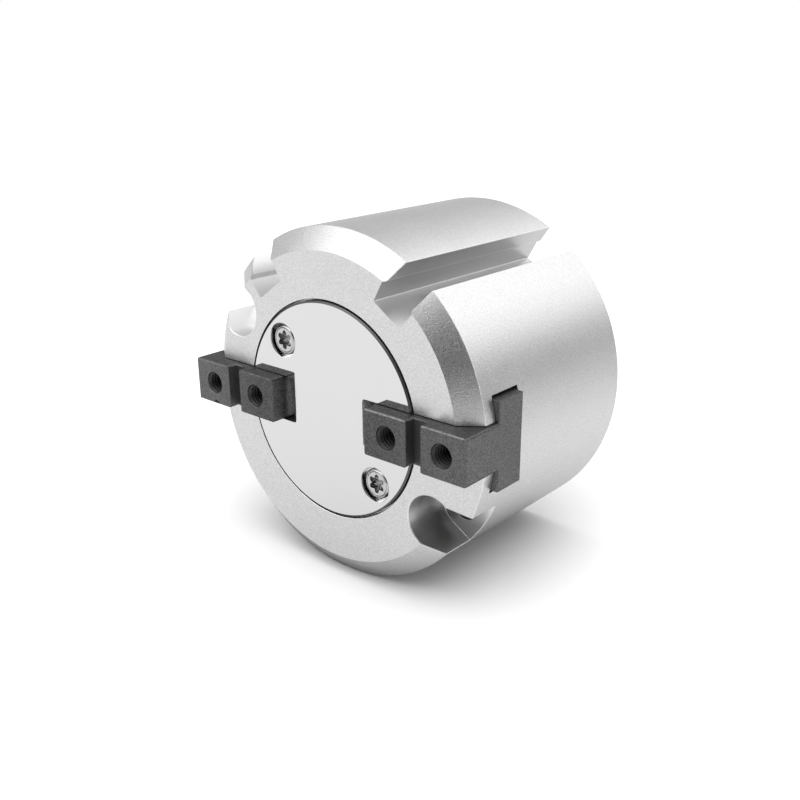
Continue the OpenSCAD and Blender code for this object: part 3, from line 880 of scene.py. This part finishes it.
body_mesh = broken_edges(
    node_bmesh("body"), "body", BODY_FINISHES, EDGE_WIDTHS["body"],
    chosen=body_finish, share=body_share,
)
add_piece("dressed_body", body_mesh, "housing", "body", "body")

SCREW_CIRCLE_R = 14.9 * MM
SCREW_ANGLES = (-45.0, 135.0)
POCKET_R = 3.22 * MM
RIM_WIDTH = 0.6 * MM
COVER_FINISHES = ("cover", "cover_rim", "pocket", "cut_end")


def cover_finish(face):
    """The finish of a face: of the outer rim, a screw pocket, a cut-out's wall, or the rest."""
    level, upright = 0.95, 0.8
    spot = face.center
    if abs(face.normal.y) > level:
        return "cover"
    if off_axis(spot) > COVER_R - RIM_WIDTH:
        return "cover_rim"
    screws = [around(SCREW_CIRCLE_R, angle) for angle in SCREW_ANGLES]
    if min(off_axis(spot, x, z) for x, z in screws) < POCKET_R:
        return "pocket"
    if abs(face.normal.z) > upright:
        return "cover_rim"
    return "cut_end" if abs(face.normal.x) > upright else "cover"


cover_mesh = broken_edges(node_bmesh("end_plate"), "cover", COVER_FINISHES, EDGE_WIDTHS["cover"])
for face in cover_mesh.polygons:
    face.material_index = COVER_FINISHES.index(cover_finish(face))
add_piece("cover", cover_mesh, "housing", "cover", "end_plate")

KEY_SLOT = (18.0 * MM, 21.3 * MM)
KEY_SLOT_DEPTH = 4 * MM
HEAD_X = 12 * MM
HEAD_DEPTH = 1 * MM
FINGER_FINISHES = ("fingers", "finger_slot", "finger_head", "finger_end", "finger_edge")


def finger_finish(face):
    """The finish of a face: of the key slot, the head behind the cover, an end, or the rest."""
    square_on, side_on = 0.9, 0.5
    spot = face.center
    behind = spot.y - PAD_FRONT_Y
    inside = KEY_SLOT[0] < abs(spot.x) < KEY_SLOT[1] and ON_LINE < behind < KEY_SLOT_DEPTH
    if inside and abs(face.normal.z) < side_on:
        return "finger_slot"
    if face.normal.y < -square_on and abs(spot.x) < HEAD_X and spot.y > FACE_Y + HEAD_DEPTH:
        return "finger_head"
    return "finger_end" if abs(face.normal.x) > square_on else "fingers"


def pad_share(edge):
    """Full width round the pads' front faces and upright corners, and less at other outer edges."""
    front_share, other_share = 0.76, 0.3
    front_band, straight = 0.05 * MM, 0.9
    start, end = [corner.co for corner in edge.verts]
    on_front = max(start.y, end.y) < PAD_FRONT_Y + front_band
    upright = abs(start.y - end.y) > straight * edge.calc_length()
    if not edge.is_convex:
        return 0.0
    if on_front:
        return front_share if edge.calc_length() > MOUTH_STEP else other_share
    return 1.0 if upright and min(start.y, end.y) < FACE_Y else other_share


for side in ("right", "left"):
    finger_mesh = broken_edges(
        node_bmesh(f"{side}_finger"), f"{side}_jaw", FINGER_FINISHES, EDGE_WIDTHS["finger"], 3,
        chosen=finger_finish, share=pad_share,
    )
    add_piece(f"{side}_jaw_finger", finger_mesh, f"{side}_jaw", "fingers", f"{side}_finger")

cap_mesh = broken_edges(node_bmesh("rear_cap"), "rear_plug", ("cap",), EDGE_WIDTHS["cap"])
add_piece("rear_plug", cap_mesh, "housing", "cap", "rear_cap")

ring_mesh = broken_edges(
    node_bmesh("snap_ring"), "spring_clip", ("spring_steel",), EDGE_WIDTHS["ring"]
)
add_piece("spring_clip", ring_mesh, "housing", "spring_steel", "snap_ring")

SCREW_TREE = geometry_tree("low_head_screw", (
    "Head Diameter", "Head Height", "Thread Diameter", "Edge", "Recess Diameter", "Lobe",
    "Recess Depth", "Length",
), screw_shape)
THREAD_TREE = geometry_tree("cut_thread", (
    "Wall Diameter", "Major Diameter", "Thread Height", "Pitch", "Length",
), thread_shape)

screw_places = []
for angle in SCREW_ANGLES:
    x, z = around(SCREW_CIRCLE_R, angle)
    screw_places.append((x, SCREW_FACE_Y, z))
screw_mesh = grown_mesh(
    "cover_screws", SCREW_TREE, screw_places, (math.radians(90), 0.0, 0.0), FINISHES["screws"],
    Head_Diameter=5.4 * MM, Head_Height=1.2 * MM, Thread_Diameter=3 * MM, Edge=0.36 * MM,
    Recess_Diameter=2.8 * MM, Lobe=0.3 * MM, Recess_Depth=0.95 * MM, Length=7.0 * MM,
)
add_piece("cover_screws", screw_mesh, "housing", "screws", "end_plate_screws")

M4, M5 = 4 * MM, 5 * MM
PITCHES = {M4: 0.7 * MM, M5: 0.8 * MM}
THREAD_SHARE = 0.54
# Across the diameter: how far a thread's sleeve sinks into the wall, and its root stands off it.
IN_WALL, OFF_WALL = 0.04 * MM, 0.02 * MM


def cut_threads(name, body, slot, finish_key, diameter, length, places, axis):
    """A piece with the cut threads of equal holes, whose mouths are at the places."""
    turn = Vector(axis).to_track_quat("Z", "Y").to_euler()
    pitch = PITCHES[diameter]
    mesh = grown_mesh(
        name, THREAD_TREE, places, tuple(turn), FINISHES[finish_key], angle=50.0,
        Wall_Diameter=diameter + IN_WALL, Major_Diameter=diameter - OFF_WALL,
        Thread_Height=pitch * THREAD_SHARE, Pitch=pitch, Length=length,
    )
    add_piece(name, mesh, body, slot)


def mouth(mount_name, start):
    """The mouth of a tapped hole's mount, start deeper than its outer end, and its axis."""
    mount = MOUNTS[mount_name]
    axis = Vector(mount["axis"])
    half = mount["dims"]["length_mm"] * MM / 2
    return Vector(mount["pos_m"]) + axis * (half - start), axis


FINGER_START, BARE_START = 0.03 * MM, 0.3 * MM
FINGER_THREAD_LENGTH, PORT_THREAD_LENGTH, REAR_THREAD_LENGTH = 8.2 * MM, 5 * MM, 9 * MM

for side in ("right", "left"):
    holes = [mouth(f"{side}_{place}_finger_thread", FINGER_START) for place in ("inner", "outer")]
    cut_threads(
        f"{side}_jaw_threads", f"{side}_jaw", "fingers", "cut_thread", M4, FINGER_THREAD_LENGTH,
        [place for place, axis in holes], holes[0][1],
    )

for port in ("rear", "front"):
    place, axis = mouth(f"{port}_air_port", BARE_START)
    cut_threads(
        f"{port}_port_thread", "housing", "body", "bare_thread", M5, PORT_THREAD_LENGTH,
        [place], axis,
    )

REAR_THREAD_ANGLES = (32.0, 212.0)
rear_places = []
for angle in REAR_THREAD_ANGLES:
    x, z = around(BOLT_CIRCLE_R, angle)
    rear_places.append((x, -BARE_START, z))
cut_threads(
    "rear_threads", "housing", "body", "bare_thread", M5, REAR_THREAD_LENGTH,
    rear_places, (0, 1, 0),
)

for node in (
    "wedge_cam", "piston", "magnet_holder", "magnet_ring", "piston_seal", "piston_gasket",
    "piston_bolt", "bolt_washer", "rod_seal", "rod_bush", "front_bumper", "rear_bumper",
    "cap_gasket",
):
    dress_node(node)


# --------------------------------------------------------------------- studio

FLOOR_LEVEL = BODY_LOW[2] - 0.01 * MM
FLOOR_SIZE = 12.0
# The floor's colour for plain light, for the camera and in the part's reflections.
FLOOR_SHADE = 0.90
FLOOR_SEEN = 1.25
FLOOR_MIRRORED = 0.82
FLOOR_NEAR_SHADOW = 0.64
FLOOR_FAR_LOSS = 0.20
FLOOR_AWAY_LOSS = 0.18
FLOOR_SHEEN = 0.02
# Where the losses set in: beside and along the part for the painted shadow, and out towards two
# corners.
BESIDE_X = (17 * MM, 30 * MM)
NEAR_FRONT_Y = (-46.5 * MM, -35.5 * MM)
NEAR_BACK_Y = (-20 * MM, 2 * MM)
FAR = (90 * MM, 260 * MM)
AWAY = (110 * MM, 300 * MM)
AMBIENT = 0.62
KEY_FROM = Vector((0.18, -0.3, 1.0))
KEY_STRENGTH = 1.5
KEY_SPREAD = math.radians(60)
BOUNCE_LOSS = 0.75


def rays_of(graph):
    """Three masks: the camera's rays, rays mirrored or bent, and rays that left a matt face."""
    path = graph.add("ShaderNodeLightPath").socket.node.outputs
    straight, glossy, bent = [
        Value(graph, path[f"Is {kind} Ray"]) for kind in ("Camera", "Glossy", "Transmission")
    ]
    scattered = graph.math("MINIMUM", Value(graph, path["Diffuse Depth"]), 1.0)
    return straight, graph.math("MAXIMUM", glossy, bent), scattered


def make_floor():
    """A pale floor, white for the camera. In the part's reflections it carries a painted shadow
    near the part, and is darker far out towards two corners.
    """
    mesh = bpy.data.meshes.new("floor")
    half = FLOOR_SIZE / 2
    corners = [(-half, -half), (half, -half), (half, half), (-half, half)]
    mesh.from_pydata([(x, y, FLOOR_LEVEL) for x, y in corners], [], [(0, 1, 2, 3)])
    material = bpy.data.materials.new("pale_floor")
    material.use_nodes = True
    graph = Graph(material.node_tree)
    straight, mirrored, scattered = rays_of(graph)
    across, along = object_axes(graph)[:2]
    # Painted shadow on the floor near the part, seen only in the part's reflections.
    near = 1.0 - graph.step(abs(across), *BESIDE_X)
    near = near * graph.step(along, *NEAR_FRONT_Y) * (1.0 - graph.step(along, *NEAR_BACK_Y))
    far = graph.step(across + along, *FAR)
    away = graph.step(across - along, *AWAY)
    seen = FLOOR_MIRRORED - near * FLOOR_NEAR_SHADOW - far * FLOOR_FAR_LOSS - away * FLOOR_AWAY_LOSS
    seen = seen * (1.0 - scattered * BOUNCE_LOSS)
    shade = FLOOR_SHADE + straight * (FLOOR_SEEN - FLOOR_SHADE) + mirrored * (seen - FLOOR_SHADE)
    matt = graph.add("ShaderNodeBsdfDiffuse", {}, {"Color": shade})
    glow = graph.add("ShaderNodeEmission", {}, {"Strength": mirrored * FLOOR_SHEEN})
    both = graph.add("ShaderNodeAddShader", {}, {0: matt, 1: glow})
    graph.add("ShaderNodeOutputMaterial", {}, {"Surface": both})
    mesh.materials.append(material)
    floor = linked("floor", mesh)


def lobe(graph, direction, towards, low, high):
    """1 where the direction points towards, falling to 0 between the two cosines."""
    unit = Vector(towards).normalized()
    sockets = {0: direction, 1: tuple(unit)}
    facing = graph.add("ShaderNodeVectorMath", {"operation": "DOT_PRODUCT"}, sockets, "Value")
    return graph.step(facing, low, high)


SOFTBOXES = (
    # towards, cosine where it ends, cosine where it is full, strength
    ((0.30, 0.71, 0.63), 0.80, 0.97, 0.59),
    ((-0.38, -0.64, 0.66), 0.80, 0.95, 0.95),
    ((-0.74, 0.66, -0.10), 0.80, 0.98, 0.36),
    ((0.42, -0.88, 0.12), 0.68, 0.94, -0.76),
    ((0.76, 0.65, -0.04), 0.83, 0.98, -0.52),
    ((-0.74, 0.66, 0.14), 0.86, 0.985, -0.48),
    ((-0.92, -0.10, 0.36), 0.86, 0.98, -0.20),
)
SURROUND = 0.75


def make_world():
    """White for the camera, and for the part's reflections a studio of soft boxes."""
    world = bpy.data.worlds.new("studio")
    bpy.context.scene.world = world
    world.use_nodes = True
    graph = Graph(world.node_tree)
    direction = graph.add("ShaderNodeTexCoord", output="Generated")
    studio = SURROUND
    for towards, low, high, strength in SOFTBOXES:
        studio = lobe(graph, direction, towards, low, high) * strength + studio
    straight, mirrored, scattered = rays_of(graph)
    plain = AMBIENT + straight * (1.0 - AMBIENT)
    studio = studio * (1.0 - scattered * BOUNCE_LOSS)
    strength = plain + mirrored * (studio - plain)
    sky = graph.add("ShaderNodeBackground", {}, {"Color": (1.0, 1.0, 1.0), "Strength": strength})
    graph.add("ShaderNodeOutputWorld", {}, {"Surface": sky})


def make_key():
    """One wide soft lamp from above and in front, which the mirrors don't show."""
    lamp = bpy.data.lights.new("key", "SUN")
    lamp.energy = KEY_STRENGTH
    lamp.angle = KEY_SPREAD
    key = linked("key", lamp)
    key.rotation_euler = KEY_FROM.to_track_quat("Z", "Y").to_euler()
    key.visible_glossy = False


CAMERA_PLACE = Vector((0.10886, -0.14981, 0.05725))
CAMERA_AIM = Vector((-0.6165, 0.7091, -0.3421)).normalized()
CAMERA_RIGHT = Vector((0.7561, 0.6545, -0.0060))
CAMERA_LENS = 43.056
CAMERA_SENSOR = 36.0
CAMERA_NEAREST = 0.005


def make_camera():
    """The camera at its place, turned by the directions of its aim and its right side."""
    data = bpy.data.cameras.new("camera")
    data.sensor_width = CAMERA_SENSOR
    data.lens = CAMERA_LENS
    data.clip_start = CAMERA_NEAREST
    camera = linked("camera", data)
    back = -CAMERA_AIM
    up = back.cross(CAMERA_RIGHT).normalized()
    right = up.cross(back)
    facing = Matrix((right, up, back)).transposed().to_4x4()
    camera.matrix_world = Matrix.Translation(CAMERA_PLACE) @ facing
    bpy.context.scene.camera = camera


make_floor()
make_world()
make_key()
make_camera()
bpy.context.scene.view_settings.view_transform = "Standard"
